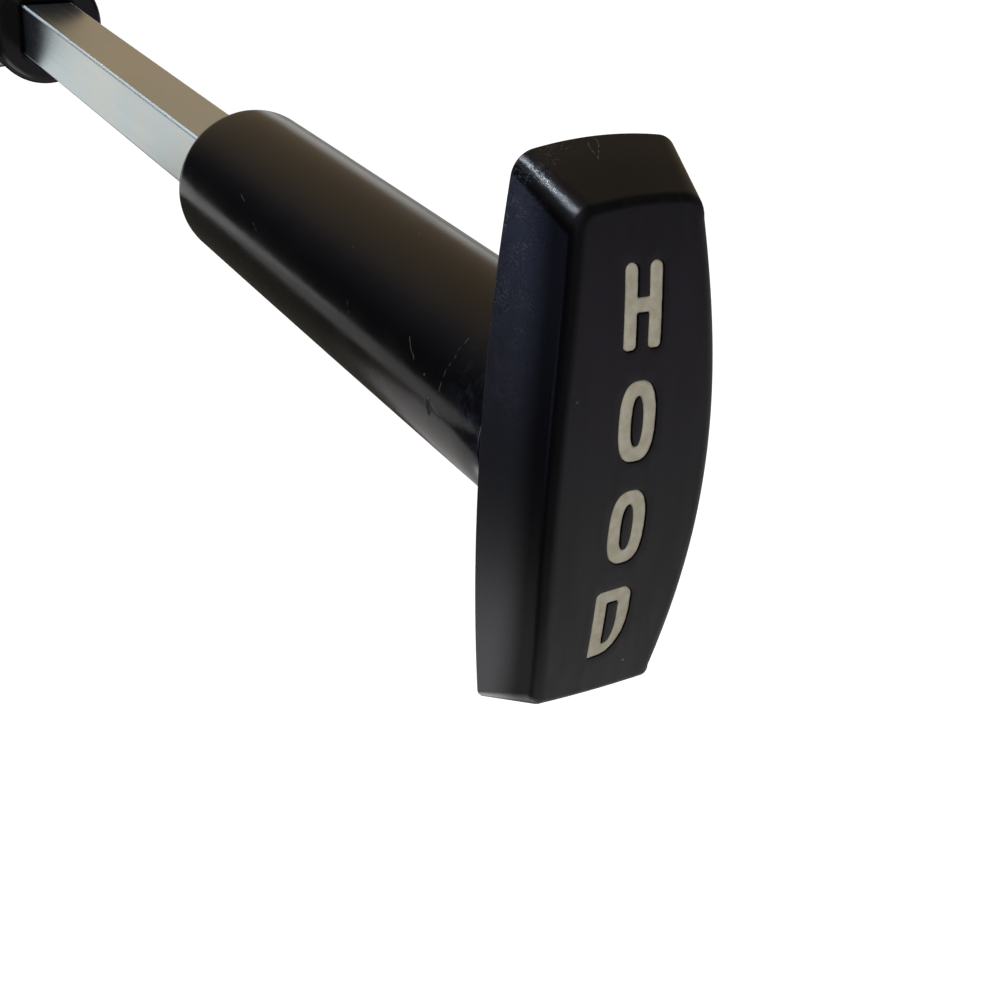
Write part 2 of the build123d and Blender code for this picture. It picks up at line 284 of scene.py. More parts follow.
def weighted_normals(piece):
    """Lets large faces set the shading where they meet small ones."""
    modifier = piece.modifiers.new("weighted", "WEIGHTED_NORMAL")
    modifier.keep_sharp = True
    modifier.weight = 50


def mesh_from(bm, name):
    """A mesh from finished faces, all facing outward."""
    bmesh.ops.recalc_face_normals(bm, faces=bm.faces)
    mesh = bpy.data.meshes.new(name)
    bm.to_mesh(mesh)
    bm.free()
    return mesh


def ring(bm, radius, y, count):
    """Vertices round the pull axis at y. radius is a number, or gives one for an angle."""
    made = []
    for i in range(count):
        angle = 2 * math.pi * i / count
        r = radius(angle) if callable(radius) else radius
        made.append(bm.verts.new((r * math.cos(angle), y, r * math.sin(angle))))
    return made


def bridge(bm, first, second):
    """Quads between two rings of the same count."""
    count = len(first)
    for i in range(count):
        j = (i + 1) % count
        bm.faces.new((first[i], first[j], second[j], second[i]))


def ease(t):
    """A soft step from 0 to 1."""
    t = min(max(t, 0.0), 1.0)
    return t * t * (3 - 2 * t)


# The handle's head

def head_half(depth):
    """The head's half sizes at a depth in front of its back face."""
    share = depth / HEAD_DEPTH
    return {k: BACK_HALF[k] + (FULL_DEPTH_HALF[k] - BACK_HALF[k]) * share for k in BACK_HALF}


def bowed_depth(z):
    """Depth of the bowed front face at a height."""
    return HEAD_DEPTH - (BOW_RADIUS - math.sqrt(BOW_RADIUS**2 - z * z))


def front_normal(z):
    """The bowed front face's outward direction at a height."""
    return Vector((0, -math.sqrt(1 - (z / BOW_RADIUS) ** 2), z / BOW_RADIUS))


def quarter_outline(kind, share, depth, end):
    """A point (x, z) and its outward direction on a quarter of the head's outline at a depth.

    The quarter is a side arc, a corner arc and an end arc. share runs from 0 to 1 along each of them.
    """
    half = head_half(depth)
    crown = end["crown"] * half["crown_share"]
    corner_height = half["height"] - crown
    rise = half["width"] - half["end_width"]
    side_radius = (corner_height**2 + rise**2) / (2 * rise)
    end_radius = (half["end_width"] ** 2 + crown**2) / (2 * crown)
    side_middle = Vector((half["width"] - side_radius, 0))
    end_middle = Vector((0, half["height"] - end_radius))
    # The corner's middle is one corner radius inside both arcs
    from_side, from_end = side_radius - end["corner"], end_radius - end["corner"]
    apart = end_middle - side_middle
    along = (from_side**2 - from_end**2 + apart.length_squared) / (2 * apart.length)
    across = math.sqrt(from_side**2 - along**2)
    unit = apart.normalized()
    corner_middle = side_middle + unit * along + Vector((-unit.y, unit.x)) * across
    to_side, to_end = corner_middle - side_middle, corner_middle - end_middle
    first_turn, second_turn = math.atan2(to_side.y, to_side.x), math.atan2(to_end.y, to_end.x)
    if kind == "side":
        middle, radius, turn = side_middle, side_radius, first_turn * share
    elif kind == "corner":
        middle, radius, turn = corner_middle, end["corner"], first_turn + (second_turn - first_turn) * share
    else:
        middle, radius, turn = end_middle, end_radius, second_turn + (math.pi / 2 - second_turn) * share
    outward = Vector((math.cos(turn), math.sin(turn)))
    return middle + outward * radius, outward


def outline_stations():
    """Places once round the head's outline: (sign of x, sign of z, kind, share)."""
    quarter = [("side", i / SIDE_STEPS) for i in range(SIDE_STEPS + 1)]
    quarter += [("corner", i / CORNER_STEPS) for i in range(1, CORNER_STEPS + 1)]
    quarter += [("end", i / END_STEPS) for i in range(1, END_STEPS + 1)]
    stations = [(1, 1, *q) for q in quarter] + [(-1, 1, *q) for q in quarter[-2::-1]]
    return stations + [(-1, -1, *q) for q in quarter[1:]] + [(1, -1, *q) for q in quarter[-2:0:-1]]


def head_point(station, depth):
    """A point of the head's sharp-edged side wall, and its outward direction across the pull axis."""
    sign_x, sign_z, kind, share = station
    p, outward = quarter_outline(kind, share, depth, UPPER_END if sign_z > 0 else LOWER_END)
    return (
        Vector((sign_x * p.x, HEAD_BACK - depth, sign_z * p.y)),
        Vector((sign_x * outward.x, 0, sign_z * outward.y)),
    )


def rolled_edge(corner, first_normal, second_normal, radius, steps):
    """Points and normals round an edge, from the surface with the first normal to the one with the second."""
    middle = corner - radius * (first_normal + second_normal) / (1 + first_normal.dot(second_normal))
    normals = [first_normal.slerp(second_normal, i / steps) for i in range(steps + 1)]
    return [(middle + radius * n, n) for n in normals]


def wall_section(station):
    """The head's side wall from its back face to its front face, with both edges rolled: (point, normal)."""
    # Closes in on the depth at which the wall meets the bowed face
    depth = HEAD_DEPTH
    for _ in range(DEPTH_ROUNDS):
        depth = bowed_depth(head_point(station, depth)[0].z)
    edge, outward = head_point(station, depth)
    back = head_point(station, 0)[0]
    forward = (edge - back).normalized()
    normal = (outward - forward * outward.dot(forward)).normalized()
    rear = rolled_edge(back, Vector((0, 1, 0)), normal, BACK_EDGE_RADIUS, BACK_EDGE_STEPS)
    front = rolled_edge(edge, normal, front_normal(edge.z), FRONT_EDGE_RADIUS, FRONT_EDGE_STEPS)
    between = [(rear[-1][0].lerp(front[0][0], share), normal) for share in WALL_ROWS]
    return rear + between + front


def inside(p, loop):
    """Whether a flat point is inside a loop."""
    hit = False
    for a, b in zip(loop, loop[1:] + loop[:1]):
        if (a.y > p.y) != (b.y > p.y) and p.x < a.x + (b.x - a.x) * (p.y - a.y) / (b.y - a.y):
            hit = not hit
    return hit


def fill_front(bm, outer, holes, normals):
    """Triangles of the bowed front face, between its rim and the letters' channels."""
    loops = [outer] + holes
    flat = [[Vector((v.co.x, v.co.z)) for v in loop] for loop in loops]
    points = [p for loop in flat for p in loop]
    edges = []
    start = 0
    for loop in flat:
        edges += [(start + i, start + (i + 1) % len(loop)) for i in range(len(loop))]
        start += len(loop)
    known = len(points)
    columns, rows = (round(reach / FRONT_GRID) for reach in FRONT_REACH)
    for i in range(-columns, columns + 1):
        for j in range(-rows, rows + 1):
            p = Vector((i * FRONT_GRID, (j + 0.5 * (i % 2)) * FRONT_GRID))
            clear = all((p - q).length > FRONT_CLEARANCE for q in points[:known])
            if clear and inside(p, flat[0]):
                points.append(p)
    placed, _, triangles, origins, _, _ = delaunay_2d_cdt(points, edges, [], 1, 1e-8)
    verts = [v for loop in loops for v in loop]
    made = []
    for p, origin in zip(placed, origins):
        if origin and origin[0] < known:
            made.append(verts[origin[0]])
        else:
            v = bm.verts.new((p.x, HEAD_BACK - bowed_depth(p.y), p.y))
            v[normals] = front_normal(p.y)
            made.append(v)
    for triangle in triangles:
        middle = sum((placed[i] for i in triangle), Vector((0, 0))) / 3
        if sum(inside(middle, loop) for loop in flat[1:]) % 2 == 0 and inside(middle, flat[0]):
            bm.faces.new([made[i] for i in triangle])
    bmesh.ops.delete(bm, geom=[v for v in made if not v.link_faces], context="VERTS")


def fill_flat(bm, loops):
    """Triangles between loops of vertices that lie across the pull axis."""
    flat = [[Vector((v.co.x, v.co.z, 0)) for v in loop] for loop in loops]
    verts = [v for loop in loops for v in loop]
    for triangle in tessellate_polygon(flat):
        bm.faces.new([verts[i] for i in triangle])


def groove_depth(angle):
    """Depth of the ragged groove at the stem's root."""
    away = abs((angle - ROOT_GROOVE_MIDDLE + math.pi) % (2 * math.pi) - math.pi)
    near = ease(1 + ROOT_GROOVE_FULL - away / ROOT_GROOVE_SPREAD)
    depth = ROOT_GROOVE * (ROOT_GROOVE_LEAST + (1 - ROOT_GROOVE_LEAST) * near)
    ragged = sum(
        strength * noise.noise((fineness * math.cos(angle), fineness * math.sin(angle), place))
        for fineness, place, strength in ROOT_GROOVE_WAVES
    )
    return depth * (1 + ragged)


def root_flare(angle):
    """Width of the small fillet at the stem's root, on the upper side only."""
    return ROOT_FLARE * ease(ROOT_FLARE_GAIN * math.sin(angle))


def root_radius(angle, groove, fillet):
    """The stem's radius at its root, with shares of the groove and of the fillet."""
    return STEM_ROOT_RADIUS - groove * groove_depth(angle) + fillet * root_flare(angle)


def stem_radius(y):
    """The stem's barrelled radius, up to its rounded end."""
    share = (y - HEAD_BACK) / (STEM_END - STEM_ROUNDING - HEAD_BACK)
    return STEM_ROOT_RADIUS + (STEM_END_RADIUS - STEM_ROOT_RADIUS) * share**2


def stem_rounding(share):
    """A point (radius, y) of the curve that rounds the stem's end."""
    pull = STEM_ROUNDING_PULL * STEM_ROUNDING
    shoulder, crown = STEM_END - STEM_ROUNDING, STEM_END_RADIUS - STEM_ROUNDING
    a, b = Vector((STEM_END_RADIUS, shoulder)), Vector((STEM_END_RADIUS, shoulder + pull))
    c, d = Vector((crown + pull, STEM_END)), Vector((crown, STEM_END))
    back = 1 - share
    return back**3 * a + 3 * back**2 * share * b + 3 * back * share**2 * c + share**3 * d


def socket_radius(angle):
    """Distance of the square socket's wall from the pull axis."""
    return SOCKET_HALF / max(abs(math.cos(angle)), abs(math.sin(angle)))


def add_stem(bm):
    """The stem from its root ring to its socket. Returns the root ring, which the head's back face joins."""
    rows = []
    for behind, groove, fillet in ROOT_ROWS:
        rows.append(ring(bm, lambda a: root_radius(a, groove, fillet), HEAD_BACK + behind, STEM_SEGMENTS))
    root = rows[0]
    start = HEAD_BACK + ROOT_ROWS[-1][0]
    shoulder = STEM_END - STEM_ROUNDING
    for i in range(1, STEM_ROWS + 1):
        y = start + (shoulder - start) * i / STEM_ROWS
        rows.append(ring(bm, stem_radius(y), y, STEM_SEGMENTS))
    for i in range(1, STEM_ROUNDING_ROWS + 1):
        rows.append(ring(bm, *stem_rounding(i / STEM_ROUNDING_ROWS), STEM_SEGMENTS))
    for y in (STEM_END, STEM_END - SOCKET_DEPTH):
        rows.append(ring(bm, socket_radius, y, STEM_SEGMENTS))
    for first, second in zip(rows, rows[1:]):
        bridge(bm, first, second)
    bm.faces.new(rows[-1])
    return root


def handle_mesh():
    """The whole moulding: head with rolled edges and sunk letters, stem and socket."""
    bm = bmesh.new()
    normals = bm.verts.layers.float_vector.new("true_normal")
    sections = [wall_section(station) for station in outline_stations()]
    rows = []
    for k in range(len(sections[0])):
        row = []
        for section in sections:
            v = bm.verts.new(section[k][0])
            v[normals] = section[k][1]
            row.append(v)
        rows.append(row)
    for first, second in zip(rows, rows[1:]):
        bridge(bm, first, second)
    holes = []
    for letter, x, middle, height, turn in LETTERS:
        holes += sink_letter(bm, placed_loops(letter, x, height, turn), middle)
    fill_front(bm, rows[-1], holes, normals)
    fill_flat(bm, [rows[0], add_stem(bm)])
    return mesh_from(bm, "t_handle")


# Letters

def stepped(points, step=LETTER_STEP):
    """A closed outline whose long straight runs are cut into short steps."""
    filled = []
    for i, p in enumerate(points):
        following = points[(i + 1) % len(points)]
        filled.append(p)
        cuts = int((following - p).length / step)
        filled += [p.lerp(following, k / (cuts + 1)) for k in range(1, cuts + 1)]
    return filled


def rounded_loop(corners, radii):
    """A closed outline with arcs at its corners."""
    points = []
    count = len(corners)
    for i in range(count):
        before, here, after = (Vector(corners[(i + k) % count]) for k in (-1, 0, 1))
        into, out = (before - here).normalized(), (after - here).normalized()
        half = math.acos(max(-1, min(1, into.dot(out)))) / 2
        reach = radii[i] / math.tan(half)
        centre = here + (into + out).normalized() * (radii[i] / math.sin(half))
        start, end = here + into * reach, here + out * reach
        sweep = math.pi - 2 * half
        pieces = max(2, math.ceil(sweep * radii[i] / CORNER_STEP))
        for k in range(pieces + 1):
            p = start.lerp(end, k / pieces) - centre
            points.append(centre + p.normalized() * radii[i])
    return stepped(points)


def oval_run(centre, width, height, power, start, end):
    """Points anticlockwise on a squarish oval, between two angles in degrees."""
    points = []
    steps = max(4, round((end - start) / OVAL_STEP))
    for i in range(steps + 1):
        angle = math.radians(start + (end - start) * i / steps)
        c, s = math.cos(angle), math.sin(angle)
        points.append(Vector((
            centre[0] + width * math.copysign(abs(c) ** (2 / power), c),
            centre[1] + height * math.copysign(abs(s) ** (2 / power), s),
        )))
    return points


def bow_loop(w, h, corner, curve_height, shoulder):
    """The D's outline or hole: a straight left side, and a right side that curves in to the bottom."""
    curve_x = -w + 2 * w * D_CURVE_PLACE
    shoulder_height = shoulder * D_SHOULDER_SHAPE
    points = [Vector((-w, -h))]
    points += oval_run((curve_x, -h + curve_height), w - curve_x, curve_height, D_SQUARENESS, -90, 0)
    points += oval_run((w - shoulder, h - shoulder_height), shoulder, shoulder_height, 2, 0, 90)
    points += oval_run((-w + corner, h - corner), corner, corner, 2, 90, 180)
    return stepped(points)


def letter_loops(letter, height):
    """A letter's outline and its holes, round its middle, each anticlockwise."""
    w, h, s = LETTER_WIDTH / 2, height / 2, LETTER_STROKE
    inner_w, inner_h = w - s, h - LETTER_ARCH
    if letter == "H":
        blunt, tip, nook = 0.36 * s, 0.46 * s, 0.12 * MM
        corners = [
            (-w, -h), (-inner_w, -h), (-inner_w, H_BAR_LOW), (inner_w, H_BAR_LOW), (inner_w, -h), (w, -h),
            (w, h), (inner_w, h), (inner_w, H_BAR_HIGH), (-inner_w, H_BAR_HIGH), (-inner_w, h), (-w, h),
        ]
        radii = [blunt, blunt, nook, nook, blunt, blunt, tip, tip, nook, nook, tip, tip]
        return [rounded_loop(corners, radii)]
    if letter == "O":
        outer = oval_run((0, 0), w, h, O_SQUARENESS, 0, 360)[:-1]
        hole = oval_run((0, 0), inner_w, inner_h, O_HOLE_SQUARENESS, 0, 360)[:-1]
        return [stepped(outer), stepped(hole)]
    outer = bow_loop(w, h, corner=0.6 * MM, curve_height=1.35 * h, shoulder=0.95 * MM)
    hole = bow_loop(inner_w, inner_h, corner=0.1 * MM, curve_height=1.25 * inner_h, shoulder=0.35 * MM)
    return [outer, hole]


def placed_loops(letter, x, height, turn):
    """A letter's loops, turned a little and moved off the head's middle line."""
    turned = math.radians(turn)
    c, s = math.cos(turned), math.sin(turned)
    loops = letter_loops(letter, height)
    return [[Vector((p.x * c + p.y * s + x, p.y * c - p.x * s)) for p in loop] for loop in loops]


def offset_loop(loop, distance, middle, uneven):
    """A loop moved outward by a distance, and off true by an uneven amount, at its place on the face."""
    moved = []
    count = len(loop)
    scale = PAINT_UNEVEN_SCALE / MM
    for i, p in enumerate(loop):
        along = (loop[(i + 1) % count] - loop[i - 1]).normalized()
        outward = Vector((along.y, -along.x))
        wobble = uneven * noise.noise((p.x * scale, (p.y + middle) * scale, 0.3))
        moved.append(p + outward * (distance + wobble))
    return moved


def face_point(p, middle, sink):
    """A point of a letter on the bowed face, sunk into it."""
    z = p.y + middle
    return Vector((p.x, HEAD_BACK - bowed_depth(z) + sink, z))


def letter_rings(bm, loops, middle, levels, uneven=0.0):
    """Rings of vertices for each level of each loop of a letter, bridged from level to level."""
    rings = []
    for outside, sink in levels:
        row = []
        for k, loop in enumerate(loops):
            sign = 1 if k == 0 else -1
            moved = offset_loop(loop, sign * outside * MM, middle, uneven)
            row.append([bm.verts.new(face_point(p, middle, sink * MM)) for p in moved])
        rings.append(row)
    for upper, lower in zip(rings, rings[1:]):
        for first, second in zip(upper, lower):
            bridge(bm, first, second)
    return rings


def sink_letter(bm, loops, middle):
    """A letter's channel in the front face. Returns its rims."""
    rings = letter_rings(bm, loops, middle, CHANNEL_LEVELS)
    fill_flat(bm, rings[-1])
    return rings[0]


def paint_fill(loops, middle):
    """The paint in a letter: domed, and a hair short of the channel's walls."""
    bm = bmesh.new()
    rings = letter_rings(bm, loops, middle, PAINT_LEVELS, PAINT_UNEVEN)
    fill_flat(bm, rings[0])
    fill_flat(bm, rings[-1])
    return mesh_from(bm, "letter_paint")


def make_handle(plastic, paint):
    """The moulding in place of its plain solid, and the paint in its letters."""
    mesh = handle_mesh()
    smooth_shaded(mesh)
    known = [a.vector.copy() for a in mesh.attributes["true_normal"].data]
    mesh.attributes.remove(mesh.attributes["true_normal"])
    mesh.normals_split_custom_set_from_vertices(known)
    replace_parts(new_object("t_handle", mesh, "pull", plastic), "handle")
    for i, (letter, x, middle, height, turn) in enumerate(LETTERS):
        mesh = paint_fill(placed_loops(letter, x, height, turn), middle)
        smooth_shaded(mesh, 60)
        new_object(f"letter_paint_{i + 1}", mesh, "pull", paint)


# The hub, with its thread

def thread_radius(angle, y):
    """Radius of the threaded shank with its two flats. The thread fades out at both its ends."""
    phase = (y / THREAD_PITCH - angle / (2 * math.pi)) % 1
    off_crest = (abs(2 * phase - 1) - THREAD_CREST) / (1 - 2 * THREAD_CREST)
    cut = THREAD_DEPTH * min(max(off_crest, 0), 1)
    from_end = hub_high.y - y
    full = ease(from_end / THREAD_FADE_AT_END) * ease(y / THREAD_FADE_AT_FLANGE)
    chamfer = SHANK_CHAMFER_DEPTH * (1 - ease(from_end / SHANK_CHAMFER_LENGTH))
    radius = THREAD_RADIUS - cut * (THREAD_LEAST + (1 - THREAD_LEAST) * full) - chamfer
    return min(radius, FLATS_HALF / max(abs(math.cos(angle)), 1e-6))


def make_hub(material):
    """The flange and its threaded shank, in place of their plain solid."""
    bm = bmesh.new()
    rows = [ring(bm, HUB_BORE, hub_high.y, HUB_SEGMENTS)]
    steps = round(hub_high.y / THREAD_ROW)
    for i in range(steps + 1):
        y = hub_high.y * (1 - i / steps)
        rows.append(ring(bm, lambda a: thread_radius(a, y), y, HUB_SEGMENTS))
    flange = hub_high.x
    for r, y in (
        (flange - FLANGE_EDGE, 0), (flange, -FLANGE_EDGE),
        (flange, hub_low.y + HUB_CHAMFER), (flange - HUB_CHAMFER, hub_low.y),
        (HUB_BORE + BORE_EDGE, hub_low.y), (HUB_BORE, hub_low.y + BORE_EDGE),
    ):
        rows.append(ring(bm, r, y, HUB_SEGMENTS))
    for first, second in zip(rows, rows[1:] + rows[:1]):
        bridge(bm, first, second)
    mesh = mesh_from(bm, "threaded_hub")
    smooth_shaded(mesh, 28)
    piece = new_object("threaded_hub", mesh, "guide", material)
    weighted_normals(piece)
    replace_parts(piece, "panel_hub")


# Materials

class Nodes:
    """A small builder for a node tree. Values are numbers, colours, vectors or other nodes' outputs."""

    def __init__(self, tree):
        self.nodes = tree.nodes
        self.links = tree.links

    def add(self, kind, **settings):
        """A new node with its settings."""
        node = self.nodes.new(kind)
        for key, value in settings.items():
            setattr(node, key, value)
        return node

    def link(self, output, target):
        """Leads an output to an input."""
        self.links.new(output, target)

    def fill(self, sockets, values):
        """Gives inputs their values. None leaves an input as it is."""
        for socket, value in zip(sockets, values):
            if isinstance(value, bpy.types.NodeSocket):
                self.link(value, socket)
            elif value is not None:
                socket.default_value = (*value, 1) if socket.type == "RGBA" else value

    def noise(self, vector, scale, detail=2, roughness=0.55, output="Fac"):
        """Soft noise: one value, or three of them as a colour."""
        node = self.add("ShaderNodeTexNoise")
        names = ("Vector", "Scale", "Detail", "Roughness")
        self.fill([node.inputs[name] for name in names], (vector, scale, detail, roughness))
        return node.outputs[output]

    def math(self, operation, first, second=None, third=None, clamp=False):
        """Arithmetic on one to three values."""
        node = self.add("ShaderNodeMath", operation=operation, use_clamp=clamp)
        self.fill(node.inputs, (first, second, third))
        return node.outputs[0]

    def times(self, first, *others):
        """The product of values."""
        for value in others:
            first = self.math("MULTIPLY", first, value)
        return first

    def ramp(self, value, low, high, out_low=0.0, out_high=1.0):
        """A soft step from out_low to out_high, while a value goes from low to high."""
        node = self.add("ShaderNodeMapRange", interpolation_type="SMOOTHSTEP")
        names = ("Value", "From Min", "From Max", "To Min", "To Max")
        self.fill([node.inputs[name] for name in names], (value, low, high, out_low, out_high))
        return node.outputs["Result"]

    def mix_colour(self, share, first, second):
        """The first colour, with a share of the second."""
        node = self.add("ShaderNodeMix", data_type="RGBA")
        self.fill([node.inputs[i] for i in (0, 6, 7)], (share, first, second))
        return node.outputs[2]

    def mix_value(self, share, first, second):
        """The first number, with a share of the second."""
        node = self.add("ShaderNodeMix", data_type="FLOAT")
        self.fill([node.inputs[i] for i in (0, 2, 3)], (share, first, second))
        return node.outputs[0]

    def vector_math(self, operation, first, second=None, scale=None):
        """Arithmetic on one or two vectors."""
        node = self.add("ShaderNodeVectorMath", operation=operation)
        self.fill([node.inputs[i] for i in (0, 1, 3)], (first, second, scale))
        return node.outputs["Value" if operation in ("DOT_PRODUCT", "DISTANCE") else "Vector"]

    def split(self, vector):
        """The x, y and z of a vector."""
        node = self.add("ShaderNodeSeparateXYZ")
        self.fill(node.inputs, (vector,))
        return node.outputs

    def joined(self, *values):
        """A vector from its x, y and z."""
        node = self.add("ShaderNodeCombineXYZ")
        self.fill(node.inputs, values)
        return node.outputs[0]

    def dots(self, vector, scale, size, share):
        """Small round dots in a share of the cells of an uneven pattern. size is their radius in cells."""
        node = self.add("ShaderNodeTexVoronoi")
        self.fill([node.inputs["Vector"], node.inputs["Scale"]], (vector, scale))
        chosen = self.ramp(self.split(node.outputs["Color"])[0], 1 - share, 1 - 0.7 * share)
        return self.times(self.ramp(node.outputs["Distance"], size, 0.35 * size), chosen)

    def warped(self, vector, scale, amount):
        """A place moved a little to and fro, so that straight marks on it wander."""
        shift = self.vector_math("SUBTRACT", self.noise(vector, scale, 2, 0.5, "Color"), (0.5, 0.5, 0.5))
        return self.vector_math("ADD", vector, self.vector_math("SCALE", shift, scale=amount))

    def line_marks(self, place, marks, width):
        """1 on straight marks across a flat place, given as (start, end), and 0 off them."""
        found = None
        for start, end in marks:
            start, reach = Vector((*start, 0)), Vector((*end, 0)) - Vector((*start, 0))
            from_start = self.vector_math("SUBTRACT", place, start)
            along = self.vector_math("DOT_PRODUCT", from_start, reach / reach.length_squared)
            nearest = self.vector_math("SCALE", reach, scale=self.math("MAXIMUM", along, 0.0, clamp=True))
            mark = self.ramp(self.vector_math("DISTANCE", from_start, nearest), width, 0.4 * width)
            found = mark if found is None else self.math("MAXIMUM", found, mark)
        return found

    def bump(self, height, distance, strength=1.0, before=None):
        """A surface direction that follows fine heights, on top of the one before."""
        node = self.add("ShaderNodeBump")
        names = ("Height", "Distance", "Strength", "Normal")
        self.fill([node.inputs[name] for name in names], (height, distance, strength, before))
        return node.outputs["Normal"]


class Shader(Nodes):
    """A builder for one node material."""

    def __init__(self, name):
        self.material = bpy.data.materials.new(name)
        self.material.use_nodes = True
        super().__init__(self.material.node_tree)
        self.principled = self.nodes["Principled BSDF"]
        self.place = self.add("ShaderNodeTexCoord").outputs["Object"]

    def set(self, **values):
        """Gives the surface's inputs their values."""
        for key, value in values.items():
            self.fill([self.principled.inputs[key.replace("_", " ")]], [value])

    def scaled(self, scale):
        """The object's own coordinates, stretched."""
        node = self.add("ShaderNodeMapping")
        self.fill([node.inputs["Vector"], node.inputs["Scale"]], (self.place, scale))
        return node.outputs["Vector"]

    def facing(self):
        """The x, y and z of the direction that the surface faces."""
        return self.split(self.add("ShaderNodeNewGeometry").outputs["Normal"])

    def finish(self, colour, roughness, normal):
        """The finished material."""
        self.set(Base_Color=colour, Roughness=roughness, Normal=normal)
        return self.material


def plain_plastic(name, low, high):
    """Black moulded plastic between two colours."""
    s = Shader(name)
    s.set(IOR=1.5, Specular_IOR_Level=0.3)
    blotch = s.noise(s.place, 160, 4)
    normal = s.bump(s.noise(s.place, 2600, 2), NOSE_SKIN_HEIGHT, 0.6)
    return s.finish(s.mix_colour(blotch, low, high), s.ramp(blotch, 0.3, 0.75, 0.17, 0.25), normal)


def stem_marks(s, parts):
    """Scratches and a nick on the stem: (pale marks, dark nick)."""
    def unrolled(mark):
        return [(STEM_END_RADIUS * math.radians(turn), HEAD_BACK + behind * MM) for turn, behind in mark]

    turn = s.math("ARCTAN2", parts[2], s.times(parts[0], -1.0))
    place = s.warped(s.joined(s.times(turn, STEM_END_RADIUS), parts[1]), 700, 0.7 * MM)
    pale = s.line_marks(place, [unrolled(mark) for mark in STEM_MARKS], MARK_WIDTH)
    return pale, s.line_marks(place, [unrolled(STEM_NICK)], NICK_WIDTH)


def top_marks(s, parts, facing):
    """Fibres and a speck that lie on the head's upper end."""
    place = s.warped(s.joined(parts[0], parts[1]), 900, 0.8 * MM)
    marks = [[(x * MM, HEAD_BACK - before * MM) for x, before in mark] for mark in TOP_MARKS]
    return s.times(s.line_marks(place, marks, FIBRE_WIDTH), s.ramp(facing[2], 0.6, 0.8))


def handle_plastic(name, low, high):
    """The handle's black plastic: a smooth stem, a finely grained head with a plainer front, and its wear,
    with a painted bluish glint on the grain flecks and painted shade toward the front edge.
    """
    s = Shader(name)
    s.set(IOR=1.5)
    parts = s.split(s.place)
    facing = s.facing()
    blotch = s.noise(s.place, 160, 4)

    # Shares for the head, its sides, their upper part, the upper left corner and the way to the front edge
    on_head = s.ramp(parts[1], HEAD_BACK + 0.2 * MM, HEAD_BACK - 0.2 * MM)
    off_head = s.math("SUBTRACT", 1.0, on_head)
    grained = s.times(on_head, s.ramp(s.math("ABSOLUTE", facing[1]), 0.8, 0.45))
    upper = s.ramp(parts[2], -14 * MM, 22 * MM)
    near_top = s.ramp(parts[2], 0.0, 25 * MM)
    corner = s.times(s.ramp(facing[0], -0.15, -0.4), s.ramp(facing[2], 0.25, 0.5))
    bow = s.times(parts[2], parts[2], 0.5 / BOW_RADIUS)
    behind_front = s.math("SUBTRACT", s.math("SUBTRACT", parts[1], bow), HEAD_FRONT)
    # Painted shade: the side walls' reflection turns down toward the front edge, less on upward faces
    front_edge_shade = s.times(s.ramp(behind_front, 6.3 * MM, 2.2 * MM), s.ramp(facing[2], 0.5, 0.8, 1.0, 0.3))

    # Grain, with flecks on the left and at the right edge, only in the upper part; the flecks also take a
    # painted bluish glint in the colour
    fleck_places = s.math("MAXIMUM", s.ramp(parts[0], -1.5 * MM, -5.5 * MM), s.ramp(facing[0], 0.5, 0.8, 0.0, 0.6))
    fleck_places = s.times(fleck_places, s.ramp(behind_front, 2.5 * MM, 6.5 * MM), near_top)
    patchy = s.ramp(s.noise(s.place, 420, 2), 0.36, 0.6)
    grain_flecks_and_glints = s.times(s.ramp(s.noise(s.place, 4300, 2, 0.6), 0.53, 0.64), patchy, fleck_places)
    fuzz = s.times(s.noise(s.place, 6500, 2, 0.6), s.mix_value(corner, 0.12, 0.31))
    grain = s.math("MULTIPLY_ADD", grain_flecks_and_glints, 0.6, fuzz)
    normal = s.bump(s.noise(s.place, 3000, 2), SKIN_HEIGHT, 0.8)
    normal = s.bump(s.times(grain, grained), GRAIN_HEIGHT, 0.9, normal)

    # Gloss: streaky on the front, with painted shade toward the front edge where the reflection is turned
    # down, high on the stem
    streaks = s.noise(s.scaled((1, 1, 0.03)), 900, 2)
    front_rough = s.ramp(streaks, 0.3, 0.7, 0.36, 0.46)
    side_rough = s.mix_value(upper, 0.3, 0.25)
    head_rough = s.mix_value(grained, front_rough, s.mix_value(corner, side_rough, 0.23))
    stem_rough = s.ramp(blotch, 0.3, 0.75, 0.13, 0.19)
    side_level = s.mix_value(corner, s.mix_value(front_edge_shade, 0.4, 0.05), 0.4)
    level = s.mix_value(on_head, 0.5, s.mix_value(grained, 0.46, side_level))
    s.set(Specular_IOR_Level=level)

    # Wear: scuffs at the stem's root, dust, scratches, fibres and a nick, and a painted bluish glint on the
    # grain flecks
    scuffed = s.times(s.ramp(s.noise(s.place, 900, 5, 0.7), 0.45, 0.72), off_head)
    scuffed = s.times(scuffed, s.ramp(parts[1], HEAD_BACK + 9 * MM, HEAD_BACK + 2 * MM))
    dust = s.dots(s.place, 230, 0.045, 0.55)
    pale, nick = stem_marks(s, parts)
    nick = s.times(nick, off_head)
    colour = s.mix_colour(blotch, low, high)
    for share, tone in (
        # The grain flecks' tone is a painted bluish glint
        (s.times(scuffed, 0.8), SCUFF_COLOUR), (s.times(grain_flecks_and_glints, grained, 0.6), FLECK_GLINT_COLOUR),
        (s.times(dust, 0.6), DUST_COLOUR), (s.times(pale, off_head, 0.5), SCRATCH_COLOUR),
        (s.times(top_marks(s, parts, facing), 0.5), FIBRE_COLOUR),
    ):
        colour = s.mix_colour(share, colour, tone)
    normal = s.bump(s.math("SUBTRACT", 1.0, nick), NICK_DEPTH, 1.0, normal)
    roughness = s.mix_value(nick, s.mix_value(on_head, stem_rough, head_rough), 0.7)
    return s.finish(colour, roughness, normal)


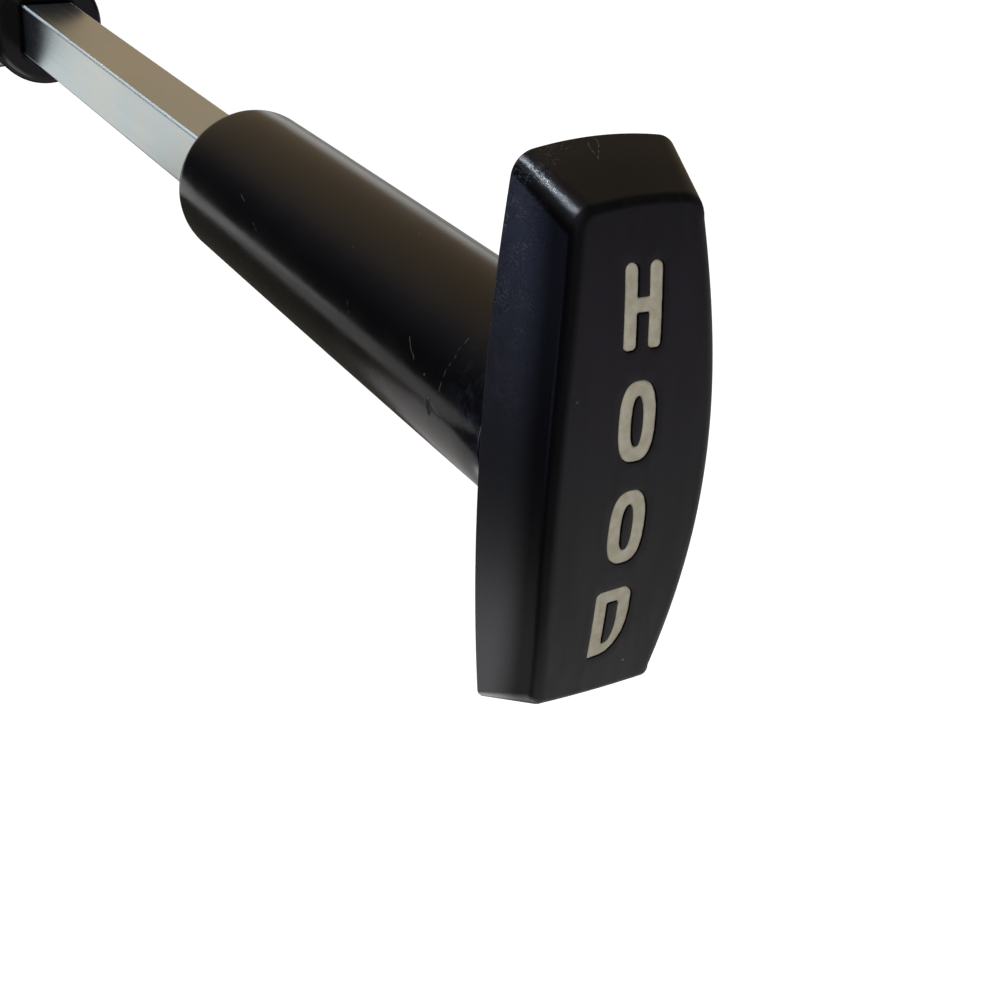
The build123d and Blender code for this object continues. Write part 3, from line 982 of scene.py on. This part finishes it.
def letter_paint(name, low, high):
    """Cream paint, a little uneven."""
    s = Shader(name)
    s.set(IOR=1.45)
    tone = s.noise(s.place, 900, 4, 0.6)
    colour = s.mix_colour(s.ramp(tone, 0.3, 0.7), low, high)
    normal = s.bump(s.noise(s.place, 2400, 3), PAINT_HEIGHT, 0.5)
    return s.finish(colour, s.ramp(tone, 0.2, 0.8, 0.45, 0.6), normal)


def plated_steel(name, colour_low, colour_high, rough_low, rough_high, stretch, fineness):
    """Zinc-plated steel, with fine marks along the way it was drawn or turned."""
    s = Shader(name)
    s.set(Metallic=1.0)
    marks = s.noise(s.scaled(stretch), fineness, 3, 0.6)
    cloud = s.noise(s.place, 140, 5, 0.6)
    colour = s.mix_colour(s.ramp(cloud, 0.3, 0.7), colour_low, colour_high)
    mixed = s.math("ADD", s.times(marks, 0.5), s.times(cloud, 0.5))
    roughness = s.ramp(mixed, 0.3, 0.7, rough_low, rough_high)
    return s.finish(colour, roughness, s.bump(marks, METAL_MARK_HEIGHT, 0.5))


def plated_rod(name, low, high):
    """Bright zinc plating on drawn bar, with faint blue and straw patches and softer edges."""
    s = Shader(name)
    s.set(Metallic=1.0)
    cloud = s.noise(s.scaled((1, 0.6, 1)), 75, 3, 0.5)
    colour = s.mix_colour(s.ramp(cloud, 0.36, 0.62), low, high)
    facing = s.facing()
    edge = s.math("MINIMUM", s.math("ABSOLUTE", facing[0]), s.math("ABSOLUTE", facing[2]))
    drawn = s.noise(s.scaled((1, 0.02, 1)), 1500, 2)
    roughness = s.mix_value(s.ramp(edge, 0.1, 0.35), s.ramp(drawn, 0.3, 0.7, 0.235, 0.265), 0.7)
    return s.finish(colour, roughness, s.bump(drawn, ROD_MARK_HEIGHT, 0.5))


def rubber(name, low, high):
    """Matt black rubber."""
    s = Shader(name)
    s.set(IOR=1.45)
    tone = s.noise(s.place, 700, 4)
    colour = s.mix_colour(tone, low, high)
    return s.finish(colour, s.ramp(tone, 0.3, 0.7, 0.6, 0.8), s.bump(tone, RUBBER_HEIGHT, 0.5))


def dress(node, material):
    """Gives a CAD node its material."""
    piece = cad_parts[node]
    piece.data.materials.clear()
    piece.data.materials.append(material)


# Camera, light and floor

def make_camera():
    """The photo's camera."""
    data = bpy.data.cameras.new("photo_camera")
    data.lens = CAMERA_LENS
    data.sensor_width = CAMERA_SENSOR
    data.clip_start = CAMERA_CLIP
    camera = bpy.data.objects.new("photo_camera", data)
    bpy.context.scene.collection.objects.link(camera)
    a, e, r = CAMERA_AZIMUTH, CAMERA_ELEVATION, CAMERA_ROLL
    forward = Vector((-math.sin(a) * math.cos(e), math.cos(a) * math.cos(e), -math.sin(e)))
    level = Vector((math.cos(a), math.sin(a), 0))
    upright = level.cross(forward)
    right = math.cos(r) * level + math.sin(r) * upright
    up = math.cos(r) * upright - math.sin(r) * level
    camera.matrix_world = Matrix((
        (right.x, up.x, -forward.x, 0),
        (right.y, up.y, -forward.y, 0),
        (right.z, up.z, -forward.z, 0),
        (0, 0, 0, 1),
    ))
    camera.location = Vector((0, HEAD_FRONT, 0)) + CAMERA_FROM_HEAD
    bpy.context.scene.camera = camera


def area_light(name, place, target, size, power, colour, only_reflected):
    """A flat lamp that faces a target, and either only lights or only shows in reflections."""
    data = bpy.data.lights.new(name, "AREA")
    data.shape = "RECTANGLE"
    data.size, data.size_y = size
    data.energy = power
    data.color = colour
    lamp = bpy.data.objects.new(name, data)
    bpy.context.scene.collection.objects.link(lamp)
    lamp.location = place
    lamp.rotation_mode = "QUATERNION"
    lamp.rotation_quaternion = (Vector(target) - Vector(place)).to_track_quat("-Z", "Y")
    lamp.visible_camera = False
    lamp.visible_glossy = only_reflected
    lamp.visible_diffuse = not only_reflected


def flat_sheet(name, outline, height, material):
    """A level sheet of the stage, its outline taken from the head's front."""
    bm = bmesh.new()
    bm.faces.new([bm.verts.new((x, HEAD_FRONT + y, height)) for x, y in outline])
    mesh = bpy.data.meshes.new(name)
    bm.to_mesh(mesh)
    bm.free()
    sheet = bpy.data.objects.new(name, mesh)
    sheet.data.materials.append(material)
    bpy.context.scene.collection.objects.link(sheet)
    return sheet


def make_floor():
    """A white table top, which shows as white and still takes a shadow."""
    s = Shader("table_white")
    path = s.add("ShaderNodeLightPath")
    plain = s.math("MAXIMUM", path.outputs["Is Camera Ray"], path.outputs["Is Transmission Ray"])
    in_gloss = s.times(path.outputs["Is Glossy Ray"], TABLE_GLOW_IN_GLOSS)
    glow = s.math("MULTIPLY_ADD", plain, TABLE_GLOW, in_gloss)
    colour = s.mix_colour(s.noise(s.place, 3, 2), *TABLE_WHITE)
    s.set(Base_Color=colour, Roughness=0.9, Specular_IOR_Level=0.0)
    s.set(Emission_Color=(1, 1, 1), Emission_Strength=glow)
    flat_sheet("floor", TABLE_OUTLINE, -TABLE_DROP, s.material)


def make_mirrored():
    """The painted reflections on the table, a dark sheet of painted shade and glowing sheets of painted
    light, that only show in the handle's gloss.
    """
    for name, outline, tone in MIRRORED:
        s = Shader(name)
        s.set(Base_Color=(0, 0, 0), Roughness=1.0, Specular_IOR_Level=0.0)
        s.set(Emission_Color=tone, Emission_Strength=1.0)
        sheet = flat_sheet(name, outline, -TABLE_DROP + MM, s.material)
        sheet.visible_camera = sheet.visible_diffuse = sheet.visible_shadow = False


def make_world():
    """A dim room that shows in reflections: dark at the horizon and paler overhead, with its patches."""
    world = bpy.data.worlds.new("room")
    world.use_nodes = True
    bpy.context.scene.world = world
    w = Nodes(world.node_tree)
    direction = w.add("ShaderNodeTexCoord").outputs["Generated"]
    room = w.mix_colour(w.ramp(w.split(direction)[2], *ROOM_HEIGHTS), ROOM_LOW, ROOM_HIGH)
    for _, place, start, full, tone in ROOM_PATCHES:
        near = w.ramp(w.vector_math("DOT_PRODUCT", direction, place), start, full)
        room = w.mix_colour(near, room, tone)
    seen = w.add("ShaderNodeLightPath").outputs["Is Camera Ray"]
    w.link(w.mix_colour(seen, room, (1.0, 1.0, 1.0)), w.nodes["Background"].inputs["Color"])


def make_lights():
    """The lamps, placed from the head's back and facing it."""
    head = Vector((0, HEAD_BACK, 0))
    for name, offset, size, power, colour, only_reflected in LAMPS:
        area_light(name, head + Vector(offset), head, size, power, colour, only_reflected)


make_handle(handle_plastic("handle_black", *HANDLE_BLACK), letter_paint("cream_paint", *PAINT_CREAM))
metals = {name: plated_steel(name, *look) for name, look in METALS.items()}
make_hub(metals["hub_zinc"])
dress("pull_rod", plated_rod("rod_zinc", *ROD_ZINC))
for node, metal in METAL_PIECES:
    dress(node, metals[metal])
dress("nose_bushing", plain_plastic("nose_black", *NOSE_BLACK))
dress("bumper_washer", rubber("bumper_rubber", *RUBBER_BLACK))

make_floor()
make_mirrored()
make_world()
make_lights()
make_camera()

bpy.context.scene.view_settings.view_transform = "Standard"
